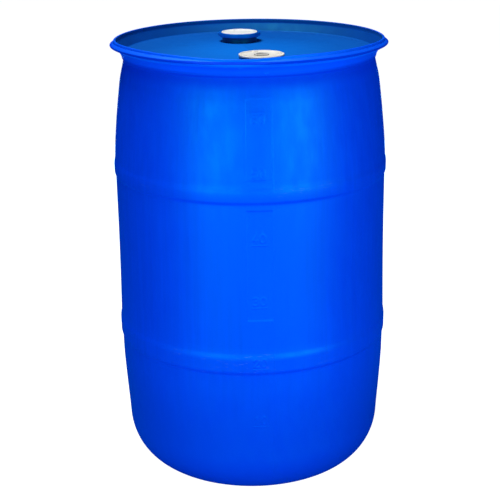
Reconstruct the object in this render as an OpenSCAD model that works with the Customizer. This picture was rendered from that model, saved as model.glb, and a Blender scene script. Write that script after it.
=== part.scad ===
// Closed-head plastic drum with a handling ring and two screw bungs.
// Millimetres. The drum stands on z = 0, its axis is Z and its front is -Y.

/* [Drum body] */
// Height from the floor to the top of the handling ring
drum_height = 935; // [850:1:1000]
// Radius of the body half way up
body_radius = 289.4; // [270:0.1:300]
// Radius of the body where it meets the lower hoop
belly_radius = 291.5; // [270:0.1:300]
// Radius of the neck under the handling ring
neck_radius = 264.4; // [240:0.1:280]
// Outer radius of the flat ring that stands on the floor
foot_radius = 223; // [200:1:240]
// Wall thickness of the blow-moulded body
wall = 4; // [2.5:0.1:6]
// How far the rolling hoops stand out of the body
hoop_height = 3; // [1:0.1:8]
// How far the middle of the underside is raised off the floor
base_rise = 7; // [2:0.5:15]

/* [Deck] */
// Depth of the deck around the bungs under the top of the ring
deck_depth = 31.5; // [20:0.5:60]
// Depth of the edge of the deck under the top of the ring
deck_edge_depth = 26.5; // [15:0.5:60]
// Thickness of the deck
deck_thickness = 4; // [2.5:0.1:6]

/* [Handling ring] */
// Largest radius of the handling ring
ring_radius = 291.3; // [280:0.1:310]
// Outer radius of the lip on top of the ring
lip_radius = 283.8; // [270:0.1:300]
// Thickness of the lip
lip_thickness = 5.8; // [3:0.1:10]

/* [Content strip] */
// Width of the recessed content strip
strip_width = 52; // [30:1:80]
// Distance of the middle of the strip from the front line of the drum
strip_offset = 16.5; // [-60:0.5:60]
// Depth of the content strip
strip_depth = 0.7; // [0.3:0.1:2]

/* [Bungs] */
// Distance of the front bung from the drum axis
front_bung_y = -155; // [-200:1:-80]
// Sideways position of the front bung
front_bung_x = 24.5; // [-60:1:60]
// Distance of the rear bung from the drum axis
rear_bung_y = 155; // [80:1:200]
// Sideways position of the rear bung
rear_bung_x = -20.5; // [-60:1:60]
// Bore of both bung necks
neck_bore = 70.3; // [40:0.1:80]
// Outer diameter of both bung necks
neck_od = 76.5; // [50:0.1:90]
// Diameter of the front collar
front_collar_d = 90; // [70:0.5:110]
// Diameter of the rear collar
rear_collar_d = 93; // [70:0.5:110]
// Diameter of the front plug flange
front_flange_d = 91; // [70:0.5:110]
// Diameter of the rear plug flange
rear_flange_d = 80; // [70:0.1:110]
// Bore for the small plug in the middle of the front plug
centre_bore = 26.5; // [15:0.1:35]
// Radial running clearance of a plug in its bore
plug_clearance = 0.1; // [0.05:0.01:0.3]

/* [Hidden] */
$fn = 96;
deck_z = drum_height - deck_depth;
deck_edge_z = drum_height - deck_edge_depth;
deck_under_z = deck_z - deck_thickness;
neck_z = drum_height - 39.5;
shoulder_z = neck_z + 10;
toe_radius = neck_radius - 6.5;
deck_flat_radius = 208;
front_bung = [front_bung_x, front_bung_y, 0];
rear_bung = [rear_bung_x, rear_bung_y, 0];
shank_r = neck_bore / 2 - plug_clearance;
front_seat_z = drum_height - 14.5;
rear_seat_z = drum_height - 16;
rear_collar_top_z = drum_height - 11;
collar_under_z = drum_height - 19.5;
front_flange_z = front_seat_z + 1;
rear_flange_z = rear_seat_z + 2;
front_recess_z = front_flange_z + 1.6;
centre_shank_r = centre_bore / 2 - plug_clearance;

// ---- outline helpers ----

// Points of a cubic curve from a to d, without d itself.
function curve(a, b, c, d, n) = [
    for (i = [0 : n - 1])
        let (t = i / n, u = 1 - t)
            u * u * u * a + 3 * u * u * t * b + 3 * u * t * t * c + t * t * t * d
];

// Points of a round from angle from to angle to, both ends included.
function round_corner(centre, r, from, to, n) = [
    for (i = [0 : n])
        let (a = from + (to - from) * i / n)
            centre + r * [cos(a), sin(a)]
];

// The same outline moved inwards by t, to the left of its direction of travel.
function inset(p, t) = [
    for (i = [0 : len(p) - 1])
        let (
            before = p[max(i - 1, 0)],
            after = p[min(i + 1, len(p) - 1)],
            along = (after - before) / norm(after - before)
        )
            p[i] + t * [-along.y, along.x]
];

function reverse(p) = [for (i = [len(p) - 1 : -1 : 0]) p[i]];

// A rolling hoop from z0 to z1 on a wall that goes from r0 to r1.
function hoop(r0, z0, r1, z1, height) = let (rise = 9, fall = 13) concat(
    curve([r0, z0], [r0, z0 + 5], [r0 + height, z0 + 4], [r0 + height, z0 + rise], 5),
    curve(
        [r0 + height, z1 - fall], [r0 + height, z1 - 6],
        [r1, z1 - 7], [r1, z1], 5
    )
);

// ---- outlines, as [radius, height] ----

// The wall from the foot to the top of the lower hoop.
lower_wall = concat(
    curve([foot_radius, 0], [249, 10], [277, 42], [281, 90], 12),
    curve([281, 90], [283, 130], [289, 190], [belly_radius, 262], 6),
    hoop(belly_radius, 290, belly_radius + 0.6, 340, hoop_height)
);

middle_wall = concat(
    curve([belly_radius + 0.6, 340], [290.5, 420], [body_radius, 480], [body_radius, 560], 6),
    [[body_radius, 560]],
    hoop(body_radius + 0.2, 650, body_radius + 0.6, 690, hoop_height - 0.2)
);

upper_wall = concat(
    curve([body_radius + 0.6, 690], [289.2, 725], [281, 800], [275, 844], 8),
    curve([275, 844], [273, 862], [neck_radius + 1.5, 884], [neck_radius, neck_z], 5)
);

// The bead of the shoulder that keys it into the handling ring.
shoulder_key = [
    [neck_radius, neck_z],
    [neck_radius, neck_z + 4.8],
    [neck_radius + 0.8, neck_z + 5.6],
    [neck_radius + 0.8, neck_z + 7.8],
    [neck_radius, neck_z + 8.6],
    [neck_radius, shoulder_z],
    [toe_radius, shoulder_z],
    [toe_radius, deck_edge_z]
];

outer_wall = concat(
    [[0, base_rise], [188, base_rise], [200, 0]],
    lower_wall, middle_wall, upper_wall, [[neck_radius, neck_z]]
);

inner_wall = [for (p = inset(outer_wall, wall)) if (p.y < deck_under_z - 8) p];

deck_top = concat(
    curve(
        [toe_radius - 6, deck_edge_z], [toe_radius - 20, deck_edge_z],
        [deck_flat_radius + 15, deck_z], [deck_flat_radius, deck_z], 6
    ),
    [[deck_flat_radius, deck_z], [0, deck_z]]
);

deck_under = concat(
    [[0, deck_under_z]],
    reverse(round_corner([neck_radius - wall - 8, deck_under_z - 8], 8, 0, 90, 4))
);

// ---- pieces ----

// Blow-moulded hollow body: base, wall and deck in one skin, with a hole for each bung neck.
module drum_shell() {
    color([0.0, 0.24, 0.75])
    difference() {
        rotate_extrude()
            polygon(concat(outer_wall, shoulder_key, deck_top, deck_under, reverse(inner_wall)));
        for (p = [front_bung, rear_bung])
            translate([p.x, p.y, deck_under_z - 1])
                cylinder(d = neck_od, h = deck_thickness + 2);
        content_strip_cut(340, 640, middle_wall);
        content_strip_cut(700, 858, upper_wall);
    }
}

// Shallow band cut into the wall between two heights, over the width of the strip.
module content_strip_cut(z0, z1, wall_line) {
    half = asin(strip_width / 2 / body_radius);
    middle = asin(strip_offset / body_radius);
    line = [for (p = wall_line) if (p.y >= z0 && p.y <= z1) p];
    rotate([0, 0, -90 + middle - half])
        rotate_extrude(angle = 2 * half)
            polygon(concat(
                [for (p = line) p - [strip_depth, 0]],
                [for (p = reverse(line)) p + [6, 0]]
            ));
}

// Injection-moulded ring with its hook under the nose for a drum lifter.
module handling_ring() {
    lip_r = 2;
    lip_outer = [lip_radius - lip_r, drum_height - lip_r];
    lip_inner = [lip_radius - lip_thickness + lip_r, drum_height - lip_r];
    web = [neck_radius + 2.7, neck_z + 6];
    nose = [ring_radius, drum_height - 10];
    hook = [ring_radius - 10.3, drum_height - 15.2];
    step = [lip_radius, drum_height - 4.6];
    color([0.0, 0.30, 0.85])
    rotate_extrude()
        polygon(concat(
            curve([neck_radius, neck_z], [neck_radius + 0.2, neck_z + 2.4], web - [0.5, 3.2], web, 4),
            curve(web, web + [0.7, 6], hook - [9, 4], hook, 7),
            curve(hook, hook + [4, 0.4], nose - [0, 3.4], nose, 5),
            curve(nose, nose + [0, 2.4], step + [2.4, -1.6], step, 5),
            [step],
            round_corner(lip_outer, lip_r, 0, 90, 4),
            round_corner(lip_inner, lip_r, 90, 180, 4),
            [
                [lip_radius - lip_thickness - 0.6, drum_height - 9],
                [toe_radius + 7, deck_edge_z + 1.2],
                [toe_radius + 5.6, deck_edge_z]
            ],
            reverse([for (i = [1 : len(shoulder_key) - 1]) shoulder_key[i]])
        ));
}

// Threaded neck that the shell is moulded around: foot under the deck, neck, collar.
module bung_housing(collar_d, top_z, seat_z, seat_d) {
    rotate_extrude()
        polygon([
            [neck_bore / 2, deck_under_z - 10],
            [neck_od / 2 - 0.6, deck_under_z - 10],
            [neck_od / 2, deck_under_z - 9.4],
            [neck_od / 2, deck_under_z - 3],
            [neck_od / 2 + 10, deck_under_z - 3],
            [neck_od / 2 + 10, deck_under_z],
            [neck_od / 2, deck_under_z],
            [neck_od / 2, collar_under_z],
            [collar_d / 2 - 1, collar_under_z],
            [collar_d / 2, collar_under_z + 1],
            [collar_d / 2, top_z - 0.8],
            [collar_d / 2 - 0.8, top_z],
            [seat_d / 2, top_z],
            [seat_d / 2, seat_z],
            [neck_bore / 2, seat_z]
        ]);
}

module front_bung_housing() {
    color([0.0, 0.22, 0.70])
    translate(front_bung)
        bung_housing(front_collar_d, front_seat_z, front_seat_z - 0.4, 80);
}

module rear_bung_housing() {
    color([0.0, 0.22, 0.70])
    translate(rear_bung)
        bung_housing(rear_collar_d, rear_collar_top_z, rear_seat_z, 82.4);
}

// Flat sealing ring under a plug.
module flat_gasket(bore_d, outer_d, z0, z1) {
    translate([0, 0, z0])
        difference() {
            cylinder(d = outer_d, h = z1 - z0);
            translate([0, 0, -1])
                cylinder(d = bore_d, h = z1 - z0 + 2);
        }
}

module front_gasket() {
    color([0.12, 0.12, 0.12])
    translate(front_bung)
        flat_gasket(neck_bore + 0.3, 79.6, front_seat_z - 0.4, front_flange_z);
}

module rear_gasket() {
    color([0.12, 0.12, 0.12])
    translate(rear_bung)
        flat_gasket(neck_bore + 0.3, 79, rear_seat_z, rear_flange_z);
}

module front_centre_gasket() {
    color([0.12, 0.12, 0.12])
    translate(front_bung)
        flat_gasket(centre_bore + 0.2, 30.6, front_recess_z, front_recess_z + 0.8);
}

// Lugs in a recess that a bung wrench pushes against.
module wrench_lugs(count, inner_r, outer_r, width, z0, z1) {
    for (i = [0 : count - 1])
        rotate([0, 0, 360 * i / count + 20])
            translate([inner_r, -width / 2, z0])
                cube([outer_r - inner_r, width, z1 - z0]);
}

// Front plug: flange, hollow threaded shank and a boss for the small plug.
module front_plug() {
    top_z = drum_height - 9.9;
    rim_r = front_flange_d / 2;
    color([0.93, 0.92, 0.86])
    translate(front_bung)
    union() {
        rotate_extrude()
            polygon([
                [centre_bore / 2, deck_z + 0.5],
                [centre_bore / 2 + 3.6, deck_z + 0.5],
                [centre_bore / 2 + 3.6, front_recess_z - 3.4],
                [shank_r - 3.4, front_recess_z - 3.4],
                [shank_r - 3.4, deck_under_z - 1.5],
                [shank_r - 0.8, deck_under_z - 1.5],
                [shank_r, deck_under_z - 0.7],
                [shank_r, front_flange_z],
                [rim_r - 0.5, front_flange_z],
                [rim_r, front_flange_z + 0.5],
                [rim_r, top_z - 0.6],
                [rim_r - 0.6, top_z],
                [rim_r - 3.6, top_z],
                [rim_r - 4.2, front_recess_z],
                [centre_bore / 2, front_recess_z]
            ]);
        wrench_lugs(4, 32, rim_r - 2.5, 9, front_recess_z - 0.5, top_z - 0.6);
    }
}

// Small plug in the middle of the front plug, with a recess for the wrench.
module front_centre_plug() {
    head_z = front_recess_z + 0.8;
    top_z = drum_height - 9.8;
    color([0.80, 0.79, 0.74])
    translate(front_bung)
    union() {
        rotate_extrude()
            polygon([
                [0, deck_z + 4],
                [centre_shank_r - 0.6, deck_z + 4],
                [centre_shank_r, deck_z + 4.6],
                [centre_shank_r, head_z],
                [15.2, head_z],
                [15.6, head_z + 0.4],
                [15.6, top_z - 0.4],
                [15.2, top_z],
                [10.9, top_z],
                [10.4, deck_z + 8],
                [0, deck_z + 8]
            ]);
        wrench_lugs(4, 6.5, 12, 3.2, deck_z + 7.5, top_z - 3);
    }
}

// Rear plug: flange let into the collar and hollow threaded shank.
module rear_plug() {
    top_z = drum_height - 10.6;
    rim_r = rear_flange_d / 2;
    color([0.96, 0.96, 0.93])
    translate(rear_bung)
    union() {
        rotate_extrude()
            polygon([
                [0, top_z - 4.6],
                [shank_r - 3.4, top_z - 4.6],
                [shank_r - 3.4, deck_under_z - 2],
                [shank_r - 0.8, deck_under_z - 2],
                [shank_r, deck_under_z - 1.2],
                [shank_r, rear_flange_z],
                [rim_r - 0.5, rear_flange_z],
                [rim_r, rear_flange_z + 0.5],
                [rim_r, top_z - 0.8],
                [rim_r - 0.8, top_z],
                [rim_r - 4, top_z],
                [rim_r - 4.4, top_z - 1.2],
                [0, top_z - 1.2]
            ]);
        wrench_lugs(4, 22, rim_r - 2.5, 9, top_z - 1.7, top_z - 0.2);
    }
}

drum_shell();
handling_ring();
front_bung_housing();
rear_bung_housing();
front_gasket();
front_plug();
front_centre_gasket();
front_centre_plug();
rear_gasket();
rear_plug();
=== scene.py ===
"""Looks for the closed-head plastic drum: body, handling ring, bungs and studio.

The frame is the CAD's: metres, Z up from the floor, the drum's front towards -Y. Shapes are written in
millimetres and turned into metres when they become objects.
"""
import math

import bmesh
import bpy
import numpy as np
from mathutils import Matrix, Vector
from mathutils.geometry import delaunay_2d_cdt


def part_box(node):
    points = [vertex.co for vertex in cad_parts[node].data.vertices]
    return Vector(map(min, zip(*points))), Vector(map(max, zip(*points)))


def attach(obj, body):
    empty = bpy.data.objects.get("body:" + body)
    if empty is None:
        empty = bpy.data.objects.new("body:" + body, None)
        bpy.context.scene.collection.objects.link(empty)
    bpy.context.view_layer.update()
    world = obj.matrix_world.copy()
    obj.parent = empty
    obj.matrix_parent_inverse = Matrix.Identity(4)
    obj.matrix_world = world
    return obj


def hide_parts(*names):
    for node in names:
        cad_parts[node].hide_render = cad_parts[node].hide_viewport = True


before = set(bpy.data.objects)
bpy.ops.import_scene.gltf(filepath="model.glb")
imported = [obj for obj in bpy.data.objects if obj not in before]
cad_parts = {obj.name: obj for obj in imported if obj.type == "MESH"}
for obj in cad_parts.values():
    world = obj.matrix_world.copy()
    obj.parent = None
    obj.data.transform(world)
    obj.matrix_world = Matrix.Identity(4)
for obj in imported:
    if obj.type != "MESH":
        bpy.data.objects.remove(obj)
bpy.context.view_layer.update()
MM = 0.001


def middle_of(node):
    """Where the axis of a round CAD node stands, in millimetres."""
    low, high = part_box(node)
    return tuple(round((a + b) / 2 / MM, 1) for a, b in zip(low[:2], high[:2]))


# ---------------------------------------------------------------- dimensions, as in the CAD, in millimetres
ring_low, ring_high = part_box("handling_ring")
HEIGHT, RING_R = round(ring_high[2] / MM, 2), round(ring_high[0] / MM, 1)
FRONT, REAR = middle_of("front_bung_housing"), middle_of("rear_bung_housing")
BODY_R, BELLY_R, WALL, HOOP = 289.4, 291.5, 4.0, 3.0
FOOT_R, FLAT_R, BASE_RISE = 223.0, 188.0, 7.0                   # foot, and the raised middle inside it
NECK_R, NECK_Z = 264.4, round(ring_low[2] / MM, 2)              # where the ring is moulded onto the body
TOE_R, SHOULDER_Z = 257.9, NECK_Z + 10
DECK_R, DECK_Z, DECK_EDGE_Z, DECK_UNDER_Z = 208.0, HEIGHT - 31.5, HEIGHT - 26.5, HEIGHT - 35.5
LIP_R, LIP_T = 283.8, 5.8
STRIP_W, STRIP_X, STRIP_D = 52.0, 16.5, 0.7                     # content strip, its middle off to +X
STRIP_LEVELS = ((410, 640), (700, 858))
MARKS, MARK_LOW, MARK_STEP, MARK_H = 6, 173.0, 131.8, 0.4
NECK_BORE, NECK_OD = 70.3, 76.5
PLUG_ROOT = NECK_BORE / 2 - 2.4                                 # core of the large bungs under their threads
GASKET_GAP = 0.03                                               # keeps a gasket's top off the bung's face
PITCH, FINE_PITCH = 6.0, 1.814
LUG_TURN = 20                                                   # degrees from the drum's axes

# The mould's parting plane cuts the wall at these two angles.
SEAM = math.radians(8.6)
FRONT_SIDE = -math.pi / 2
FRONT_SEAM = FRONT_SIDE + SEAM
REAR_SEAM = FRONT_SEAM + math.pi


# ---------------------------------------------------------------- outline helpers
def curve(a, b, c, d, n):
    """Points of a cubic curve from a to d, without d."""
    t = np.arange(n)[:, None] / n
    a, b, c, d = (np.array(p, float) for p in (a, b, c, d))
    return (1 - t) ** 3 * a + 3 * (1 - t) ** 2 * t * b + 3 * (1 - t) * t * t * c + t ** 3 * d


def arc(r, z, radius, start, end, n):
    """Points of a round about (r, z), both ends included, angles in degrees."""
    a = np.radians(np.linspace(start, end, n + 1))
    return np.stack([r + radius * np.cos(a), z + radius * np.sin(a)], 1)


def line(*points):
    """Straight stretches through (r, z) points."""
    return np.array(points, float)


def hoop(r0, z0, r1, z1, height, n=8):
    """A rolling hoop between two places on the wall."""
    top = r0 + height
    return np.vstack([
        curve((r0, z0 - 1), (r0, z0 + 5), (top, z0 + 4), (top, z0 + 11), n),
        curve((top, z1 - 17), (top, z1 - 8), (r1, z1 - 6), (r1, z1 + 3), n),
    ])


def headings(p):
    """Unit vectors along an outline, one at each of its points."""
    d = np.vstack([p[1:], p[-1:]]) - np.vstack([p[:1], p[:-1]])
    return d / np.linalg.norm(d, axis=1)[:, None]


def inset(p, t):
    """The outline moved to the left of its direction of travel."""
    d = headings(p)
    return p + t * np.stack([-d[:, 1], d[:, 0]], 1)


def denser(p, step):
    """The same outline with extra points, so that none of its sides is longer than step."""
    out = [p[:1]]
    for a, b in zip(p[:-1], p[1:]):
        n = max(1, int(math.ceil(np.linalg.norm(b - a) / step)))
        out.append(a + (b - a) * (np.arange(1, n + 1) / n)[:, None])
    return np.vstack(out)


def ripple(theta, seed, waves, count=9):
    """A smooth closed random line around the drum, about -1 to 1."""
    rng = np.random.default_rng(seed)
    out = np.zeros_like(theta)
    for k in rng.integers(waves[0], waves[1], count):
        out = out + np.sin(k * theta + rng.uniform(0, 2 * math.pi)) / math.sqrt(count)
    return out


def smooth(x, low, high):
    """0 below low, 1 above high, with a soft step between."""
    t = np.clip((x - low) / (high - low), 0, 1)
    return t * t * (3 - 2 * t)


def circle(n):
    """n equal steps round a circle, as angles."""
    return np.arange(n) * 2 * math.pi / n


def turn_from(zero, t):
    """The angle t measured from the direction zero, -pi to pi."""
    return np.mod(t - zero + math.pi, 2 * math.pi) - math.pi


def seam_points(radius, holes):
    """Points along the parting plane of a plate, each with True where it lies on the seam's crest."""
    along = np.array([math.sin(SEAM), -math.cos(SEAM)])
    across = np.array([along[1], -along[0]])
    reach = radius - 4
    for side in (-2.2, -0.7, 0.7, 2.2):
        for u in np.arange(-reach, reach + 1, 6.0):
            p = u * along + side * across
            if all(math.hypot(p[0] - c[0], p[1] - c[1]) >= r + 3 for c, r, _ in holes):
                yield tuple(p), abs(side) < 1 and abs(u) < reach - 6


# ---------------------------------------------------------------- mesh helpers
class Shape:
    """Collects points and faces, in millimetres, and makes one object of them."""

    def __init__(self):
        self.verts, self.faces, self.count = [], [], 0

    def add(self, verts, faces):
        """Adds points and the faces that join them, and gives the number of the first point."""
        start = self.count
        self.verts.append(np.asarray(verts, float))
        self.faces += [[i + start for i in f] for f in faces]
        self.count += len(verts)
        return start

    def band(self, start, n, i, k):
        """Quads between rows i and k, of n points each."""
        a, b = start + i * n, start + k * n
        for j in range(n):
            after = (j + 1) % n
            self.faces.append([a + j, a + after, b + after, b + j])

    def lathe(self, outline, thetas, centre=(0, 0), close=False, shift=None):
        """Turns an outline about a vertical axis. shift(r, z, theta) moves the points first."""
        n, m = len(outline), len(thetas)
        r = np.repeat(outline[:, :1], m, 1)
        z = np.repeat(outline[:, 1:], m, 1)
        t = np.repeat(thetas[None, :], n, 0)
        if shift:
            r, z = shift(r, z, t)
        verts = np.stack([centre[0] + r * np.cos(t), centre[1] + r * np.sin(t), z], 2).reshape(-1, 3)
        start = self.add(verts, [])
        for i in range(n if close else n - 1):
            self.band(start, m, i, (i + 1) % n)

    def disc(self, z, thetas, radius, holes=(), ridge=0.0, down=False):
        """A flat plate with holes, (centre, radius, steps), and a low seam along the parting plane."""
        pts = [(radius * math.cos(t), radius * math.sin(t)) for t in thetas]
        edges = [(i, (i + 1) % len(pts)) for i in range(len(pts))]
        for (cx, cy), r, n in holes:
            s = len(pts)
            pts += [(cx + r * math.cos(t), cy + r * math.sin(t)) for t in circle(n)]
            edges += [(s + i, s + (i + 1) % n) for i in range(n)]
        crest = set()
        for p, raised in seam_points(radius, holes) if ridge else ():
            if raised:
                crest.add(len(pts))
            pts.append(p)
        co, _, tris, origins, *_ = delaunay_2d_cdt([Vector(p) for p in pts], edges, [], 0, 1e-6)
        verts = [(v.x, v.y, z + (ridge if crest & set(came) else 0.0)) for v, came in zip(co, origins)]
        faces = []
        for f in tris:
            c = sum((co[i] for i in f), Vector((0, 0))) / len(f)
            if all((c - Vector(h[0])).length > h[1] * 0.999 for h in holes):
                faces.append(list(reversed(f)) if down else list(f))
        self.add(verts, faces)

    def box(self, low, high, centre, turn, bevel=0.6):
        """A block with its top edges rounded off, turned about a vertical axis through centre."""
        (x0, y0, z0), (x1, y1, z1) = low, high
        rings = [(0, z0), (0, z1 - bevel), (bevel * 0.3, z1 - bevel * 0.3), (bevel, z1)]
        verts, c, s = [], math.cos(turn), math.sin(turn)
        for d, z in rings:
            for x, y in ((x0 + d, y0 + d), (x1 - d, y0 + d), (x1 - d, y1 - d), (x0 + d, y1 - d)):
                verts.append((centre[0] + x * c - y * s, centre[1] + x * s + y * c, z))
        start = self.add(verts, [[3, 2, 1, 0], [12, 13, 14, 15]])
        for i in range(3):
            self.band(start, 4, i, i + 1)

    def lugs(self, low, high, centre, bevel=0.6):
        """Four wrench lugs around a plug."""
        for i in range(4):
            self.box(low, high, centre, math.radians(90 * i + LUG_TURN), bevel)

    def make(self, name, material, body, nodes, sharp=32):
        """One object that rides on a body and stands in for CAD nodes."""
        mesh = bpy.data.meshes.new(name)
        mesh.from_pydata((np.vstack(self.verts) * MM).tolist(), [], self.faces)
        mesh.validate()
        bm = bmesh.new()
        bm.from_mesh(mesh)
        bmesh.ops.remove_doubles(bm, verts=bm.verts, dist=2e-6)
        bmesh.ops.recalc_face_normals(bm, faces=bm.faces)
        bm.to_mesh(mesh)
        bm.free()
        for p in mesh.polygons:
            p.use_smooth = True
        mesh.set_sharp_from_angle(angle=math.radians(sharp))
        mesh.materials.append(material)
        obj = bpy.data.objects.new(name, mesh)
        bpy.context.scene.collection.objects.link(obj)
        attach(obj, body)
        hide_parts(*nodes)


# ---------------------------------------------------------------- outlines of the drum, (r, z) points
# Between its round stretches the wall swells from the foot to the belly and narrows above the upper hoop.
lower_wall = np.vstack([
    curve((FOOT_R, 0), (249, 10), (277, 42), (281, 90), 20),
    curve((281, 90), (283, 130), (289, 190), (BELLY_R, 262), 10),
    hoop(BELLY_R, 290, BELLY_R + 0.6, 340, HOOP),
])
middle_wall = np.vstack([
    curve((BELLY_R + 0.6, 340), (290.5, 420), (BODY_R, 480), (BODY_R, 560), 8),
    line((BODY_R, 560)),
    hoop(BODY_R + 0.2, 650, BODY_R + 0.6, 690, HOOP - 0.2),
])
upper_wall = np.vstack([
    curve((BODY_R + 0.6, 690), (289.2, 725), (281, 800), (275, 844), 10),
    curve((275, 844), (273, 862), (NECK_R + 1.5, 884), (NECK_R, NECK_Z), 10),
])
wall_line = np.vstack([lower_wall, middle_wall, upper_wall, line((NECK_R, NECK_Z))])
foot_line = np.vstack([
    line((FLAT_R, BASE_RISE), (FLAT_R + 3, BASE_RISE - 0.3), (FLAT_R + 10, 0.8), (FLAT_R + 13, 0)),
    wall_line,
])
# The step that carries the ring, then the dished edge of the deck.
shoulder_line = line((NECK_R, SHOULDER_Z), (TOE_R, SHOULDER_Z), (TOE_R, DECK_EDGE_Z))
deck_line = np.vstack([
    curve((TOE_R - 6, DECK_EDGE_Z), (TOE_R - 20, DECK_EDGE_Z), (DECK_R + 15, DECK_Z), (DECK_R, DECK_Z), 8),
    line((DECK_R, DECK_Z)),
])

# ---------------------------------------------------------------- content marks
# Strokes of each digit, as points in a cell 0.6 wide and 1 high.
DIGITS = {
    "0": [[(0.3 + 0.3 * math.cos(a), 0.5 + 0.5 * math.sin(a)) for a in np.linspace(0, 2 * math.pi, 25)]],
    "1": [[(0.12, 0.78), (0.34, 1.0), (0.34, 0.0)]],
    "2": [[(0.03, 0.78), (0.1, 0.93), (0.3, 1.0), (0.5, 0.93), (0.57, 0.74), (0.48, 0.55),
           (0.0, 0.0), (0.6, 0.0)]],
    "3": [[(0.03, 0.9), (0.28, 1.0), (0.52, 0.9), (0.54, 0.68), (0.4, 0.55), (0.25, 0.53), (0.42, 0.5),
           (0.58, 0.36), (0.57, 0.14), (0.32, 0.0), (0.02, 0.1)]],
    "4": [[(0.44, 0.0), (0.44, 1.0), (0.0, 0.3), (0.6, 0.3)]],
    "5": [[(0.55, 1.0), (0.1, 1.0), (0.06, 0.56), (0.32, 0.62), (0.56, 0.48), (0.58, 0.2),
           (0.36, 0.0), (0.02, 0.08)]],
    "6": [[(0.5, 0.95), (0.3, 1.0), (0.08, 0.7), (0.02, 0.35), (0.1, 0.08), (0.32, 0.0), (0.54, 0.1),
           (0.58, 0.34), (0.46, 0.52), (0.28, 0.57), (0.08, 0.46)]],
}


def stroke_distance(x, z, points):
    """Distance from each place to a line through points."""
    best = np.full(x.shape, 1e9)
    for (ax, az), (bx, bz) in zip(points[:-1], points[1:]):
        dx, dz = bx - ax, bz - az
        t = np.clip(((x - ax) * dx + (z - az) * dz) / (dx * dx + dz * dz), 0, 1)
        best = np.minimum(best, np.hypot(x - ax - t * dx, z - az - t * dz))
    return best


def mark_relief(s, z):
    """Height of the ticks and numerals above the strip, s millimetres from the front line, at height z."""
    out = np.zeros_like(s)
    middle, size, gap, spacing = STRIP_X - 1.5, 17.0, 5.5, 15.0
    for i in range(MARKS):
        tick = MARK_LOW + i * MARK_STEP
        bar = np.maximum(np.abs(s - middle) - 16, np.abs(z - tick) - 0.9)
        out = np.maximum(out, MARK_H * smooth(-bar, -0.5, 0.5))
        # The top numeral hangs under its tick, the others stand on theirs.
        base = tick + gap if i < MARKS - 1 else tick - gap - size
        for k, digit in enumerate(str(10 * (i + 1))):
            left = middle - 13.0 + spacing * k
            for stroke in DIGITS[digit]:
                d = stroke_distance((s - left) / size, (z - base) / size, stroke) * size
                out = np.maximum(out, MARK_H * smooth(1.75 - d, -0.5, 0.6))
    return out


# ---------------------------------------------------------------- materials
def nodes_of(name):
    """A new material with its node tree and shader."""
    mat = bpy.data.materials.new(name)
    mat.use_nodes = True
    tree = mat.node_tree
    return mat, tree, tree.nodes["Principled BSDF"]


def add(tree, kind, **values):
    """A new node. Values that start with in_ go to its inputs, the others are settings."""
    node = tree.nodes.new(kind)
    for key, value in values.items():
        if key.startswith("in_"):
            node.inputs[key[3:].replace("_", " ")].default_value = value
        else:
            setattr(node, key, value)
    return node


def position(tree):
    """The point that is shaded, in metres in the drum's frame."""
    return add(tree, "ShaderNodeTexCoord").outputs["Object"]


def noise(tree, scale, vector, detail=3.0, roughness=0.5):
    """Noise, finer along the directions in which vector is larger."""
    mapping = add(tree, "ShaderNodeMapping", in_Scale=vector)
    tex = add(tree, "ShaderNodeTexNoise", in_Scale=scale, in_Detail=detail, in_Roughness=roughness)
    tree.links.new(position(tree), mapping.inputs["Vector"])
    tree.links.new(mapping.outputs["Vector"], tex.inputs["Vector"])
    return tex.outputs["Fac"]


def ramp(tree, source, low, high, a=0.0, b=1.0):
    """source mapped softly from low..high to a..b."""
    node = add(tree, "ShaderNodeMapRange", interpolation_type="SMOOTHSTEP")
    node.inputs["From Min"].default_value = low
    node.inputs["From Max"].default_value = high
    node.inputs["To Min"].default_value = a
    node.inputs["To Max"].default_value = b
    tree.links.new(source, node.inputs["Value"])
    return node.outputs["Result"]


def combine(tree, operation, a, b):
    """A sum, product and so on of two sockets or numbers."""
    node = add(tree, "ShaderNodeMath", operation=operation)
    for socket, value in zip(node.inputs, (a, b)):
        if isinstance(value, (int, float)):
            socket.default_value = value
        else:
            tree.links.new(value, socket)
    return node.outputs[0]


def mix(tree, factor, a, b):
    """Colour a where factor is 0 and b where it is 1."""
    node = add(tree, "ShaderNodeMix", data_type="RGBA")
    tree.links.new(factor, node.inputs["Factor"])
    for socket, value in ((node.inputs["A"], a), (node.inputs["B"], b)):
        if isinstance(value, (tuple, list)):
            socket.default_value = (*value, 1.0)
        else:
            tree.links.new(value, socket)
    return node.outputs["Result"]


def bump(tree, bsdf, layers):
    """Layers of (height source, strength, distance in metres)."""
    last = None
    for height, strength, distance in layers:
        node = add(tree, "ShaderNodeBump", in_Strength=strength, in_Distance=distance)
        tree.links.new(height, node.inputs["Height"])
        if last:
            tree.links.new(last, node.inputs["Normal"])
        last = node.outputs["Normal"]
    tree.links.new(last, bsdf.inputs["Normal"])


def near_height(tree, low, high, edge):
    """1 between two heights, in metres, and 0 away from them."""
    split = add(tree, "ShaderNodeSeparateXYZ")
    tree.links.new(position(tree), split.inputs["Vector"])
    up = ramp(tree, split.outputs["Z"], low - edge, low)
    down = ramp(tree, split.outputs["Z"], high, high + edge, 1.0, 0.0)
    return combine(tree, "MULTIPLY", up, down)


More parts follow.
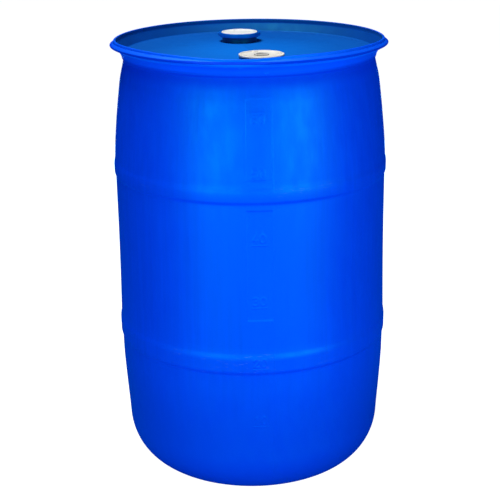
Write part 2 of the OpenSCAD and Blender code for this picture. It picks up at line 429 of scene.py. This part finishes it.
def in_recess(tree):
    """Two masks: one for the deck, the ring's inner slope and the inside of its lip, and one for the middle,
    which fades towards the ring for painted shade there.

    The slope starts at SLOPE_FOOT_R on the deck's edge and runs outwards up to LIP_FOOT_Z. The lip's inside
    is told from its top by its radius.
    """
    split = add(tree, "ShaderNodeSeparateXYZ")
    tree.links.new(position(tree), split.inputs["Vector"])
    flat = add(tree, "ShaderNodeVectorMath", operation="MULTIPLY")
    flat.inputs[1].default_value = (1, 1, 0)
    tree.links.new(position(tree), flat.inputs[0])
    length = add(tree, "ShaderNodeVectorMath", operation="LENGTH")
    tree.links.new(flat.outputs["Vector"], length.inputs[0])
    reach = length.outputs["Value"]
    rise = combine(tree, "SUBTRACT", split.outputs["Z"], DECK_EDGE_Z * MM)
    over = combine(tree, "SUBTRACT", reach, combine(tree, "MULTIPLY", rise, SLOPE_RUN))
    inside = ramp(tree, over, SLOPE_FOOT_R - 0.001, SLOPE_FOOT_R + 0.001, 1.0, 0.0)
    slope_zone = combine(tree, "MULTIPLY", inside, near_height(tree, 0.903, LIP_FOOT_Z, 0.0015))
    within_lip = ramp(tree, reach, LIP_INSIDE_R - 0.0005, LIP_INSIDE_R + 0.0005, 1.0, 0.0)
    lip_zone = combine(tree, "MULTIPLY", within_lip, near_height(tree, LIP_FOOT_Z, 0.95, 0.0015))
    # Painted shade: 1 in the deck's middle and 0 towards the ring, where the deck is made darker.
    middle = ramp(tree, reach, 0.03, 0.27, 1.0, 0.0)
    return combine(tree, "MAXIMUM", slope_zone, lip_zone), middle


def scuff_mask(tree, scuffs):
    """Fine scratches in patches, at heights given as (low, high, amount)."""
    scratch = ramp(tree, noise(tree, 90.0, (0.6, 0.6, 5.0), 6, 0.7), 0.56, 0.72)
    patch = ramp(tree, noise(tree, 9.0, (1, 1, 1.5), 3), 0.45, 0.7)
    zone = 0.0
    for low, high, amount in scuffs:
        part = combine(tree, "MULTIPLY", near_height(tree, low, high, 0.006), amount)
        zone = combine(tree, "MAXIMUM", zone, part)
    return combine(tree, "MULTIPLY", combine(tree, "MULTIPLY", scratch, patch), zone)


def blue_plastic(name, dark, light, roughness, streaks=1.0, scuffs=(), light_and_shade_bands=(), deck=None, wall=None):
    """Moulded polyethylene between two blues, with flow streaks.

    scuffs are (low, high, amount) and bands are (low, high, edge, colour, added roughness), in metres; the
    bands are painted light and painted shade.
    deck is a pair of blues for the deck and the slope around it, painted light in the middle and painted
    shade towards the ring; wall is another pair for that slope alone, painted shade.
    """
    mat, tree, bsdf = nodes_of(name)
    clouds = noise(tree, 5.0, (1, 1, 0.6), 4)
    flow = noise(tree, 26.0, (4, 4, 0.12), 5, 0.6)
    tone = combine(tree, "ADD", combine(tree, "MULTIPLY", clouds, 0.6),
                   combine(tree, "MULTIPLY", flow, 0.4 * streaks))
    colour = mix(tree, ramp(tree, tone, 0.3, 0.75), dark, light)
    grain = noise(tree, 40.0, (1, 1, 0.5), 4)
    rough = ramp(tree, grain, 0.3, 0.7, roughness - 0.03, roughness + 0.05)
    if scuffs:
        wear = scuff_mask(tree, scuffs)
        colour = mix(tree, wear, colour, (0.10, 0.24, 0.75))
        rough = combine(tree, "ADD", rough, combine(tree, "MULTIPLY", wear, 0.25))
    # Painted light and painted shade, band by band at given heights.
    for low, high, edge, tint, matt in light_and_shade_bands:
        band = near_height(tree, low, high, edge)
        colour = mix(tree, band, colour, tint)
        rough = combine(tree, "ADD", rough, combine(tree, "MULTIPLY", band, matt))
    # Painted light and shade in the recess: the deck is lighter in the middle and darker towards the ring,
    # and the ring's inner slope gets darker blues.
    if deck:
        inside, middle = in_recess(tree)
        patches = ramp(tree, clouds, 0.35, 0.65)
        shade = combine(tree, "ADD", middle, combine(tree, "MULTIPLY", patches, 0.1))
        recess = mix(tree, shade, *deck)
        if wall:
            recess = mix(tree, near_height(tree, 0.9108, 0.95, 0.0012), recess, mix(tree, patches, *wall))
        colour = mix(tree, inside, colour, recess)
        rough = combine(tree, "ADD", rough, combine(tree, "MULTIPLY", inside, 0.08))
    tree.links.new(colour, bsdf.inputs["Base Color"])
    tree.links.new(rough, bsdf.inputs["Roughness"])
    bsdf.inputs["Specular IOR Level"].default_value = 0.9
    bsdf.inputs["Specular Tint"].default_value = (0.0, 0.75, 1.0, 1.0)
    bsdf.inputs["IOR"].default_value = 1.5
    bump(tree, bsdf, [
        (flow, 0.25 * streaks, 0.0012),
        (noise(tree, 380.0, (1, 1, 1), 2), 0.10, 0.0003),
    ])
    return mat


def pale_plastic(name, base, shade, roughness):
    """The bungs' plastic, with a little dirt in shade's colour."""
    mat, tree, bsdf = nodes_of(name)
    dirt = ramp(tree, noise(tree, 55.0, (1, 1, 1), 5, 0.6), 0.48, 0.75)
    colour = mix(tree, combine(tree, "MULTIPLY", dirt, 0.5), base, shade)
    tree.links.new(colour, bsdf.inputs["Base Color"])
    rough = ramp(tree, noise(tree, 120.0, (1, 1, 1), 3), 0.3, 0.7, roughness - 0.05, roughness + 0.08)
    tree.links.new(rough, bsdf.inputs["Roughness"])
    bsdf.inputs["IOR"].default_value = 1.5
    bsdf.inputs["Subsurface Weight"].default_value = 0.08
    bsdf.inputs["Subsurface Radius"].default_value = (1.0, 0.9, 0.7)
    bsdf.inputs["Subsurface Scale"].default_value = 0.002
    bump(tree, bsdf, [
        (noise(tree, 500.0, (1, 1, 1), 3), 0.15, 0.0003),
        (noise(tree, 60.0, (1, 1, 1), 2), 0.1, 0.0006),
    ])
    return mat


def rubber(name):
    """Black gasket rubber."""
    mat, tree, bsdf = nodes_of(name)
    tone = noise(tree, 220.0, (1, 1, 1), 4)
    colour = mix(tree, ramp(tree, tone, 0.3, 0.7), (0.012, 0.012, 0.013), (0.03, 0.03, 0.03))
    tree.links.new(colour, bsdf.inputs["Base Color"])
    tree.links.new(ramp(tree, tone, 0.3, 0.7, 0.6, 0.75), bsdf.inputs["Roughness"])
    bump(tree, bsdf, [(noise(tree, 900.0, (1, 1, 1), 2), 0.2, 0.0002)])
    return mat


# Places on the ring, in metres: foot and outward run of its inner slope, foot and inner radius of its lip.
SLOPE_FOOT_R, SLOPE_RUN, LIP_FOOT_Z, LIP_INSIDE_R = 0.2665, 0.66, 0.9278, 0.2791
# Wear on the rolling hoops and the foot, then painted shade darkening the foot and a painted shadow in the
# root of the ring.
BODY_SCUFFS = [(0.318, 0.336, 0.55), (0.668, 0.684, 0.5), (0.0, 0.05, 0.8), (0.292, 0.31, 0.3)]
BODY_PAINTED_SHADE = [
    (-0.1, 0.10, 0.24, (0.0, 0.040, 0.66), 0.02),
    (0.892, 0.9, 0.026, (0.0, 0.015, 0.62), 0.26),
]
# Painted light and shade on the ring, from below: painted shade at the foot of the web, painted light on the
# upper web under the hook, a painted highlight on the hook's edge, painted shade on the step under the lip,
# and a painted highlight on the lip.
RING_PAINTED_LIGHT_AND_SHADE = [
    (0.8940, 0.9000, 0.0060, (0.0, 0.020, 0.64), 0.1),
    (0.9080, 0.9205, 0.0040, (0.0, 0.066, 0.92), 0.0),
    (0.9190, 0.9248, 0.0012, (0.0, 0.130, 1.00), 0.0),
    (0.9262, 0.9303, 0.0008, (0.0, 0.016, 0.60), 0.40),
    (0.9309, 0.9450, 0.0006, (0.0, 0.070, 0.80), 0.0),
]
# Painted shade on the bung necks below the collar, down into the drum.
NECK_PAINTED_SHADE = [(0.85, 0.9145, 0.0015, (0.0, 0.012, 0.10), 0.0)]
# The deck's blues: a lighter, greener middle that stands for light from above, going to a dark edge that is
# painted shade under the ring. Then darker blues for the upper part of the ring's inner slope, which are
# painted shade.
DECK_LIT_AND_SHADED_BLUES = ((0, 0.050, 0.36), (0, 0.122, 0.62))
WALL_SHADED_BLUES = ((0, 0.026, 0.24), (0, 0.036, 0.30))

body_blue = blue_plastic("body_blue", (0.0, 0.040, 0.71), (0.0, 0.052, 0.84), 0.46,
                         scuffs=BODY_SCUFFS, light_and_shade_bands=BODY_PAINTED_SHADE, deck=DECK_LIT_AND_SHADED_BLUES)
ring_blue = blue_plastic("ring_blue", (0.0, 0.040, 0.78), (0.0, 0.052, 0.92), 0.54, streaks=0.3,
                         scuffs=[(0.915, 0.936, 0.7)], light_and_shade_bands=RING_PAINTED_LIGHT_AND_SHADE, deck=DECK_LIT_AND_SHADED_BLUES, wall=WALL_SHADED_BLUES)
neck_blue = blue_plastic("neck_blue", (0.0, 0.09, 0.50), (0.0, 0.11, 0.58), 0.45, streaks=0.2,
                         light_and_shade_bands=NECK_PAINTED_SHADE)
white_cap = pale_plastic("white_cap", (0.88, 0.88, 0.84), (0.70, 0.68, 0.60), 0.38)
cream_cap = pale_plastic("cream_cap", (0.86, 0.82, 0.72), (0.66, 0.58, 0.45), 0.38)
grey_cap = pale_plastic("grey_cap", (0.62, 0.60, 0.55), (0.45, 0.42, 0.36), 0.42)
black_rubber = rubber("black_rubber")


# ---------------------------------------------------------------- drum body
def body_angles():
    """Steps round the body, closer together across the content strip and at both seams."""
    def turned(a):
        return np.mod(a, 2 * math.pi)

    strip_start = FRONT_SIDE + STRIP_X / BODY_R - STRIP_W / 2 / BODY_R
    strip = np.arange(strip_start - 0.010, FRONT_SEAM + 0.012, 0.0036)
    rear = REAR_SEAM + np.array([-0.008, -0.004, -0.0015, 0.0, 0.0015, 0.004, 0.008])
    rest = [t for t in circle(180)
            if not (turned(strip[0] - 0.01) < t < turned(strip[-1] + 0.01))
            and abs(t - turned(REAR_SEAM)) > 0.012]
    return np.sort(np.concatenate([rest, turned(strip), turned(rear)]))


def body_rows():
    """The outline from the underside to the ring, with rows 1 mm apart at the marks and strip ends."""
    rows = denser(foot_line, 24.0)
    under, wall = rows[:4], rows[4:]
    ticks = [MARK_LOW + i * MARK_STEP for i in range(MARKS)]
    extra_z = np.concatenate(
        [np.arange(-3, 26, 1.0) + tick for tick in ticks[:-1]]
        + [np.arange(-26, 3, 1.0) + ticks[-1]]
        + [np.arange(end - 2.5, end + 2.6, 1.0) for levels in STRIP_LEVELS for end in levels]
    )
    extra = np.stack([np.interp(extra_z, wall[:, 1], wall[:, 0]), extra_z], 1)
    wall = np.vstack([wall, extra])
    wall = wall[np.argsort(wall[:, 1], kind="stable")]
    apart = np.concatenate([[True], np.diff(wall[:, 1]) > 0.35])
    return np.vstack([under, wall[apart]])


def wall_relief(r, z, t):
    """Sinks the content strip into the wall and adds its marks, the mould seams and a slight sag."""
    s = turn_from(FRONT_SIDE, t) * BODY_R
    side = smooth(STRIP_W / 2 - np.abs(s - STRIP_X), -0.6, 1.4)
    ends = np.maximum(*(smooth(z, low - 1, low + 2) * smooth(-z, -high - 1, -high + 2)
                        for low, high in STRIP_LEVELS))
    out = r - STRIP_D * side * ends + mark_relief(s, z) * (z > 100) * (z < 860)
    rear_s = turn_from(REAR_SEAM, t) * BODY_R
    seam_line = np.exp(-((s - SEAM * BODY_R) / 0.7) ** 2) + np.exp(-(rear_s / 0.7) ** 2)
    wander = 0.30 + 0.12 * np.sin(z / 37.0) + 0.08 * np.sin(z / 11.0 + 1)
    out = out + seam_line * wander * smooth(z, 8, 30) * smooth(-z, -NECK_Z, -NECK_Z + 10)
    sag = 0.35 * np.sin(3 * t + z / 160.0) + 0.25 * np.sin(5 * t - z / 210.0 + 1.3)
    return out + sag * smooth(z, 60, 200) * smooth(-z, -860, -760), z


def make_body():
    """The blow-moulded body: outer skin, deck with two holes, and the inner skin WALL inside it."""
    thetas = body_angles()
    shape = Shape()
    shape.lathe(body_rows(), thetas, shift=wall_relief)
    shape.lathe(np.vstack([line((NECK_R, NECK_Z)), shoulder_line, deck_line]), thetas)
    shape.disc(BASE_RISE, thetas, FLAT_R, ridge=-0.8, down=True)
    holes = [(FRONT, NECK_OD / 2, 96), (REAR, NECK_OD / 2, 96)]
    shape.disc(DECK_Z, thetas, DECK_R, holes, ridge=0.7)

    skin = inset(denser(foot_line, 40.0)[1:], WALL)
    corner = 8
    inner = np.vstack([
        line((DECK_R, DECK_UNDER_Z)),
        arc(NECK_R - WALL - corner, DECK_UNDER_Z - corner, corner, 90, 0, 6),
        skin[skin[:, 1] < DECK_UNDER_Z - corner][::-1],
    ])
    inner = inner[np.concatenate([[True], np.linalg.norm(np.diff(inner, axis=0), axis=1) > 0.3])]
    steps = circle(120)
    shape.lathe(inner, steps)
    shape.disc(inner[-1, 1], steps, inner[-1, 0])
    shape.disc(DECK_UNDER_Z, steps, DECK_R, holes, down=True)
    for centre in (FRONT, REAR):
        shape.lathe(line((NECK_OD / 2, DECK_Z), (NECK_OD / 2, DECK_UNDER_Z)), circle(96), centre)
    shape.make("drum_body", body_blue, "drum", ["drum_shell"], sharp=38)


# ---------------------------------------------------------------- handling ring
# Corners of the ring's section, (r, z): top of its upright web, hook, nose, and the step under the lip.
WEB, HOOK = (NECK_R + 2.7, NECK_Z + 6), (RING_R - 10.3, HEIGHT - 15.2)
NOSE, STEP = (RING_R, HEIGHT - 10), (LIP_R, HEIGHT - 4.6)
LIP_IN = LIP_R - LIP_T

# Up the outside from the root of the web, over the lip, down the inner slope and back under the shoulder.
ring_line = np.vstack([
    curve((NECK_R, NECK_Z), (NECK_R + 0.2, NECK_Z + 2.4), (WEB[0] - 0.5, WEB[1] - 3.2), WEB, 8),
    curve(WEB, (WEB[0] + 0.7, WEB[1] + 6), (HOOK[0] - 9, HOOK[1] - 4), HOOK, 24),
    curve(HOOK, (HOOK[0] + 4, HOOK[1] + 0.4), (NOSE[0], NOSE[1] - 3.4), NOSE, 20),
    curve(NOSE, (NOSE[0], NOSE[1] + 2.4), (STEP[0] + 2.4, STEP[1] - 1.6), STEP, 16),
    line(STEP),
    arc(LIP_R - 2, HEIGHT - 2, 2, 0, 90, 6),
    arc(LIP_IN + 2, HEIGHT - 2, 2, 90, 180, 6),
    curve((LIP_IN, HEIGHT - 2.1), (LIP_IN, HEIGHT - 8), (LIP_IN - 0.4, HEIGHT - 8.4),
          (LIP_IN - 1.4, HEIGHT - 10), 8)[1:],
    denser(line((LIP_IN - 1.4, HEIGHT - 10), (TOE_R + 7.6, DECK_EDGE_Z + 2)), 6.0),
    curve((TOE_R + 7.4, DECK_EDGE_Z + 1.7), (TOE_R + 6.4, DECK_EDGE_Z + 0.4), (TOE_R + 5, DECK_EDGE_Z),
          (TOE_R, DECK_EDGE_Z), 6),
    line((TOE_R, DECK_EDGE_Z), (TOE_R, SHOULDER_Z), (NECK_R, SHOULDER_Z)),
])


def ring_warp(t):
    """The ring has sprung up a few millimetres either side of its front, where the mould opened."""
    spring, low_at, right, left = 5.0, -0.06, 0.26, 0.42
    front = turn_from(FRONT_SIDE, t)
    dip = 1 - np.exp(-((front - low_at) / np.where(front > low_at, right, left)) ** 2)
    return spring * dip * smooth(-np.abs(front), -1.75, -0.95)


def add_gate_pip(shape):
    """The mould's gate mark: a low round pip with a dished middle on the web under the hook."""
    a, level, n = FRONT_SIDE + math.radians(6.9), NECK_Z + 10.5, 32
    out, side = (math.cos(a), math.sin(a)), (-math.sin(a), math.cos(a))
    rings = ((4.4, -1.0), (4.2, 0.5), (3.7, 0.85), (3.0, 0.75), (2.3, 0.25), (0.001, 0.15))
    verts = []
    for radius, height in rings:
        reach = WEB[0] + 0.75 + height
        for t in circle(n):
            x = radius * math.cos(t)
            z = level + radius * math.sin(t)
            verts.append((out[0] * reach + side[0] * x, out[1] * reach + side[1] * x, z))
    start = shape.add(verts, [list(range(n))])
    for i in range(len(rings) - 1):
        shape.band(start, n, i, i + 1)


def make_ring():
    """The handling ring, with flash along its edges, nicks and the warp of a cooling moulding."""
    along = np.concatenate([[0], np.cumsum(np.linalg.norm(np.diff(ring_line, axis=0), axis=1))])
    hook_at, step_at = (along[int(np.argmin(np.linalg.norm(ring_line - corner, axis=1)))]
                        for corner in (HOOK, STEP))
    d = headings(ring_line)
    rng = np.random.default_rng(11)
    nicks = [(rng.uniform(0, 2 * math.pi), rng.uniform(hook_at - 2, step_at + 1), rng.uniform(-0.7, 0.8),
              rng.uniform(0.004, 0.012)) for _ in range(80)]

    def trim(r, z, t):
        """Flash left along the lower edge of the hook, a wavy step under the lip, and nicks."""
        u = np.repeat(along[:, None], t.shape[1], 1)
        tall = 0.9 + 0.45 * ripple(t, 5, (9, 70)) + 0.25 * ripple(t, 6, (90, 170))
        where = hook_at + 1.2 + 0.6 * ripple(t, 3, (5, 40)) + 0.25 * ripple(t, 4, (60, 140))
        lift = np.clip(tall, 0.15, 1.9) * np.exp(-((u - where) / 0.75) ** 2)
        where = step_at - 1.0 + 0.8 * ripple(t, 7, (4, 30)) + 0.3 * ripple(t, 9, (40, 120))
        lift += 0.35 * np.clip(0.6 + ripple(t, 8, (5, 60)), 0, 2) * np.exp(-((u - where) / 0.7) ** 2)
        for angle, place, height, width in nicks:
            away = turn_from(angle, t)
            lift += height * np.exp(-(away / width) ** 2 - ((u - place) / 0.9) ** 2)
        lift *= (u > hook_at - 6) * smooth(-u, -step_at - 4, -step_at - 2)
        return r + lift * d[:, 1:], z - lift * d[:, :1] + ring_warp(t) * smooth(z, NECK_Z + 12, HEIGHT - 8)

    shape = Shape()
    shape.lathe(ring_line, circle(720), close=True, shift=trim)
    add_gate_pip(shape)
    shape.make("handling_ring_skin", ring_blue, "drum", ["handling_ring"], sharp=50)


# ---------------------------------------------------------------- closures
def thread(pitch, depth, low, high):
    """Radii of a right-hand screw thread between two heights, faded out over its end turns."""

    def cut(r, z, t):
        phase = np.mod(z / pitch - t / (2 * math.pi), 1.0)
        tooth = smooth(np.abs(phase - 0.5) * 2, 0.18, 0.82)
        fade = smooth(z, low, low + pitch) * smooth(-z, -high, -high + pitch)
        within = (z > low - 0.01) & (z < high + 0.01)
        return r + depth * tooth * fade * within

    return cut


def threaded(*cuts):
    """Cuts threads into some rows of an outline, each given as (first row, number of rows, thread)."""

    def shift(r, z, t):
        r = r.copy()
        for first, count, cut in cuts:
            rows = slice(first, first + count)
            r[rows] = cut(r[rows], z[rows], t[rows])
        return r, z

    return shift


def wall_rows(radius, low, high, step):
    """An upright stretch with a row of points at every step, for a thread."""
    z = np.linspace(low, high, int(round((high - low) / step)) + 1)
    return np.stack([np.full(len(z), radius), z], 1)


def make_housing(name, node, centre, collar_d, top, seat, seat_d):
    """A threaded neck clamped in the deck, with a collar above and a flange below."""
    bore, outer, rim, seat_r = NECK_BORE / 2, NECK_OD / 2, collar_d / 2, seat_d / 2
    under, foot, flange = HEIGHT - 19.5, DECK_UNDER_Z - 10, DECK_UNDER_Z - 3
    wall = wall_rows(bore, foot + 1.5, seat - 0.8, 0.5)
    outline = np.vstack([
        wall,
        line((bore + 0.3, seat - 0.2), (bore + 0.8, seat)),
        line((seat_r - 0.3, seat), (seat_r, seat + 0.2), (seat_r, top - 0.3), (seat_r + 0.3, top)),
        line((rim - 1.6, top)),
        arc(rim - 1.4, top - 1.4, 1.4, 80, 5, 5),
        line((rim, under + 1.6)),
        arc(rim - 1.4, under + 1.4, 1.4, -5, -80, 5),
        line((outer + 1.4, under)),
        arc(outer + 1.4, under - 1.4, 1.4, 90, 180, 4),
        line((outer, DECK_Z + 1.8)),
        arc(outer + 1.8, DECK_Z + 1.8, 1.8, 180, 270, 4),
        line((outer + 1.8, DECK_Z - 1.0), (outer, DECK_Z - 1.0), (outer, DECK_UNDER_Z)),
        line((outer + 9.6, DECK_UNDER_Z), (outer + 10, DECK_UNDER_Z - 0.4), (outer + 10, flange + 0.4)),
        line((outer + 9.6, flange), (outer + 0.6, flange), (outer, flange - 0.6)),
        line((outer, foot + 0.6), (outer - 0.6, foot), (bore + 0.6, foot), (bore, foot + 0.6)),
    ])
    shape = Shape()
    cut = threaded((0, len(wall), thread(PITCH, -2.1, foot + 1.5, seat - 1.0)))
    shape.lathe(outline, circle(120), centre, close=True, shift=cut)
    shape.make(name, neck_blue, "drum", [node], sharp=40)


def make_gasket(name, node, body, centre, inner, outer, low, high):
    """A flat rubber ring with rounded edges."""
    b = min(0.4, (high - low) * 0.3)
    outline = np.vstack([
        arc(outer - b, low + b, b, -90, 0, 3), arc(outer - b, high - b, b, 0, 90, 3),
        arc(inner + b, high - b, b, 90, 180, 3), arc(inner + b, low + b, b, 180, 270, 3),
    ])
    shape = Shape()
    shape.lathe(outline, circle(96), centre, close=True)
    shape.make(name, black_rubber, body, [node])


def make_front_plug():
    """The large bung in front: a cup with a threaded boss that takes the small bung."""
    root, rim, boss, pocket = PLUG_ROOT, 45.5, 13.25, 30.8
    top, seat, floor, foot = HEIGHT - 9.9, HEIGHT - 13.5, HEIGHT - 11.9, DECK_UNDER_Z - 1.5
    roof, shelf = floor - 3.4, DECK_Z + 0.5
    wall = wall_rows(root, foot + 0.8, seat - 3.0, 0.5)
    bore_wall = wall_rows(boss, DECK_Z + 1.0, floor - 0.6, 0.3)[::-1]
    outside = np.vstack([
        wall,
        line((root, seat - 2.4), (root, seat - 0.6), (root + 0.6, seat), (rim - 0.6, seat)),
        arc(rim - 0.7, seat + 0.7, 0.7, -80, 0, 4),
        arc(rim - 0.9, top - 0.9, 0.9, 0, 90, 5),
        arc(rim - 3.0, top - 0.7, 0.7, 90, 170, 4),
        line((rim - 4.0, floor + 0.8)),
        arc(rim - 4.9, floor + 0.8, 0.8, 0, -90, 4),
        line((boss + 0.7, floor), (boss + 0.2, floor - 0.3)),
    ])
    outline = np.vstack([
        outside,
        bore_wall,
        line((boss, shelf + 0.2), (boss + 0.3, shelf), (boss + 3.2, shelf), (boss + 3.6, shelf + 0.4)),
        line((boss + 3.6, roof - 1.0), (boss + 4.6, roof), (pocket - 1.0, roof), (pocket, roof - 1.0)),
        line((pocket, foot + 0.6), (pocket + 0.6, foot), (root - 0.6, foot), (root, foot + 0.4)),
    ])
    male = thread(PITCH, 2.5, foot + 0.8, seat - 3.0)
    female = thread(FINE_PITCH, -0.75, DECK_Z + 1.0, floor - 0.6)
    cut = threaded((0, len(wall), male), (len(outside), len(bore_wall), female))
    shape = Shape()
    shape.lathe(outline, circle(120), FRONT, close=True, shift=cut)
    shape.lugs((32, -4.5, floor - 0.5), (rim - 2.5, 4.5, top - 0.6), FRONT)
    shape.make("front_bung_plug", cream_cap, "front_bung", ["front_plug"], sharp=40)


def make_centre_plug():
    """The small bung in the middle of the front one."""
    root, rim, cup = 12.25, 15.6, 10.5
    head, top, foot = HEIGHT - 11.1, HEIGHT - 9.8, DECK_Z + 4
    wall = wall_rows(root, foot + 0.6, head - 1.2, 0.3)
    outline = np.vstack([
        wall,
        line((root, head - 0.9), (root, head), (rim - 0.6, head)),
        arc(rim - 0.4, head + 0.4, 0.4, -90, 0, 3),
        arc(rim - 0.5, top - 0.5, 0.5, 0, 90, 4),
        arc(rim - 4.0, top - 0.6, 0.6, 90, 170, 4),
        line((cup, DECK_Z + 9.0)),
        arc(cup - 1.0, DECK_Z + 9.0, 1.0, 0, -90, 4),
        line((0.02, DECK_Z + 8)),
        line((0.02, foot), (root - 0.6, foot), (root, foot + 0.3)),
    ])
    cut = threaded((0, len(wall), thread(FINE_PITCH, 0.9, foot + 0.6, head - 1.2)))
    shape = Shape()
    shape.lathe(outline, circle(96), FRONT, close=True, shift=cut)
    shape.lugs((6.5, -1.6, DECK_Z + 7.5), (12, 1.6, top - 3), FRONT, 0.4)
    shape.make("centre_bung_plug", grey_cap, "centre_bung", ["front_centre_plug"], sharp=40)


def make_rear_plug():
    """The large bung at the back, with a flat top."""
    root, rim, pocket = PLUG_ROOT, 40.0, 31.5
    top, seat, foot = HEIGHT - 10.6, HEIGHT - 14, DECK_UNDER_Z - 2
    wall = wall_rows(root, foot + 0.8, seat - 3.5, 0.5)
    outline = np.vstack([
        wall,
        line((root, seat - 2.9), (root, seat - 0.6), (root + 0.6, seat), (rim - 0.6, seat)),
        arc(rim - 0.7, seat + 0.7, 0.7, -80, 0, 4),
        arc(rim - 1.1, top - 1.1, 1.1, 0, 90, 5),
        arc(rim - 3.4, top - 0.5, 0.5, 90, 165, 3),
        arc(rim - 5.0, top - 0.6, 0.6, -10, -90, 3),
        line((0.05, top - 1.2)),
        line((0.05, top - 4.6), (pocket - 0.7, top - 4.6), (pocket, top - 5.4)),
        line((pocket, foot + 0.6), (pocket + 0.3, foot), (root - 0.6, foot), (root, foot + 0.4)),
    ])
    cut = threaded((0, len(wall), thread(PITCH, 2.5, foot + 0.8, seat - 3.5)))
    shape = Shape()
    shape.lathe(outline, circle(120), REAR, close=True, shift=cut)
    shape.lugs((22, -4.5, top - 1.7), (rim - 2.5, 4.5, top - 0.2), REAR, 0.4)
    shape.make("rear_bung_plug", white_cap, "rear_bung", ["rear_plug"], sharp=40)


make_body()
make_ring()
make_housing("front_neck", "front_bung_housing", FRONT, 90.0, HEIGHT - 14.5, HEIGHT - 14.9, 80.0)
make_housing("rear_neck", "rear_bung_housing", REAR, 93.0, HEIGHT - 11, HEIGHT - 16, 82.4)
make_gasket("front_seal_ring", "front_gasket", "front_seal", FRONT, 35.3, 39.8,
            HEIGHT - 14.9, HEIGHT - 13.5 - GASKET_GAP)
make_gasket("rear_seal_ring", "rear_gasket", "rear_seal", REAR, 35.3, 39.5,
            HEIGHT - 16, HEIGHT - 14 - GASKET_GAP)
make_gasket("centre_seal_ring", "front_centre_gasket", "centre_seal", FRONT, 13.35, 15.3,
            HEIGHT - 11.9, HEIGHT - 11.1 - GASKET_GAP)
make_front_plug()
make_centre_plug()
make_rear_plug()


# ---------------------------------------------------------------- studio
def for_camera(tree, seen, lighting):
    """One shader as the camera sees it and another for all other light."""
    path = add(tree, "ShaderNodeLightPath")
    choose = add(tree, "ShaderNodeMixShader")
    tree.links.new(path.outputs["Is Camera Ray"], choose.inputs[0])
    tree.links.new(lighting.outputs[0], choose.inputs[1])
    tree.links.new(seen.outputs[0], choose.inputs[2])
    return choose.outputs[0]


def make_stage():
    """A white floor just below the foot, which reflects blue light onto the drum."""
    s, z = 40.0, -0.0006
    mesh = bpy.data.meshes.new("floor")
    mesh.from_pydata([(-s, -s, z), (s, -s, z), (s, s, z), (-s, s, z)], [], [(0, 1, 2, 3)])
    floor = bpy.data.objects.new("floor", mesh)
    bpy.context.scene.collection.objects.link(floor)
    mat = bpy.data.materials.new("floor_white")
    mat.use_nodes = True
    tree = mat.node_tree
    tree.nodes.clear()
    out = add(tree, "ShaderNodeOutputMaterial")
    white = add(tree, "ShaderNodeBsdfDiffuse", in_Color=(0.45, 0.45, 0.45, 1))
    glow = add(tree, "ShaderNodeEmission", in_Color=(1, 1, 1, 1), in_Strength=1.0)
    both = add(tree, "ShaderNodeAddShader")
    bounce = add(tree, "ShaderNodeBsdfDiffuse", in_Color=(0.0, 0.13, 0.42, 1))
    tree.links.new(white.outputs[0], both.inputs[0])
    tree.links.new(glow.outputs[0], both.inputs[1])
    tree.links.new(for_camera(tree, both, bounce), out.inputs["Surface"])
    mesh.materials.append(mat)


def make_world():
    """A white backdrop that lights the drum with a faint blue."""
    world = bpy.data.worlds.new("studio")
    bpy.context.scene.world = world
    world.use_nodes = True
    tree = world.node_tree
    tree.nodes.clear()
    out = add(tree, "ShaderNodeOutputWorld")
    white = add(tree, "ShaderNodeBackground", in_Color=(1, 1, 1, 1), in_Strength=1.0)
    faint = add(tree, "ShaderNodeBackground", in_Color=(0.0, 0.20, 1.0, 1), in_Strength=0.08)
    tree.links.new(for_camera(tree, white, faint), out.inputs["Surface"])


def soft_box(name, azimuth, distance, height, size, power, target=(0, 0, 0.5), colour=(1, 1, 1)):
    """An area light. azimuth 0 is in front of the drum and grows towards +X, in degrees."""
    a = math.radians(azimuth)
    light = bpy.data.lights.new(name, "AREA")
    light.shape = "RECTANGLE"
    light.size, light.size_y = size
    light.energy = power
    light.color = colour
    obj = bpy.data.objects.new(name, light)
    obj.location = (distance * math.sin(a), -distance * math.cos(a), height)
    obj.rotation_euler = (Vector(target) - obj.location).to_track_quat("-Z", "Y").to_euler()
    bpy.context.scene.collection.objects.link(obj)


def make_camera():
    """The picture's view: from 2.56 m in front and 1.32 m up, 18.4 degrees down and slightly rolled."""
    distance, height, side = 2.5631, 1.3186, -0.0033
    pitch, roll = 0.3218, -0.0127
    ahead = Vector((0, math.cos(pitch), -math.sin(pitch)))
    up = Vector((0, math.sin(pitch), math.cos(pitch)))
    right = Vector((1, 0, 0))
    right, up = (math.cos(roll) * right + math.sin(roll) * up,
                 math.cos(roll) * up - math.sin(roll) * right)
    camera = bpy.data.cameras.new("camera")
    camera.sensor_width = 36.0
    camera.lens = 87.66
    camera.clip_end = 200
    obj = bpy.data.objects.new("camera", camera)
    turn = Matrix((right, up, -ahead)).transposed()
    obj.matrix_world = Matrix.Translation((side, -distance, height)) @ turn.to_4x4()
    bpy.context.scene.collection.objects.link(obj)
    bpy.context.scene.camera = obj


make_stage()
make_world()
soft_box("front_fill", 4, 3.0, 0.35, (1.1, 0.7), 10)
soft_box("left_box", -28, 3.0, 0.80, (1.7, 1.4), 46)
soft_box("right_box", 38, 3.0, 0.80, (1.7, 1.4), 51)
soft_box("top_box", -85, 0.5, 3.6, (1.0, 1.0), 88, target=(0, 0, 0.9))
soft_box("back_box", 180, 3.0, 0.42, (2.2, 0.8), 42, target=(0, 0, 0.42), colour=(0.12, 0.55, 1.0))
make_camera()
bpy.context.scene.view_settings.view_transform = "Standard"
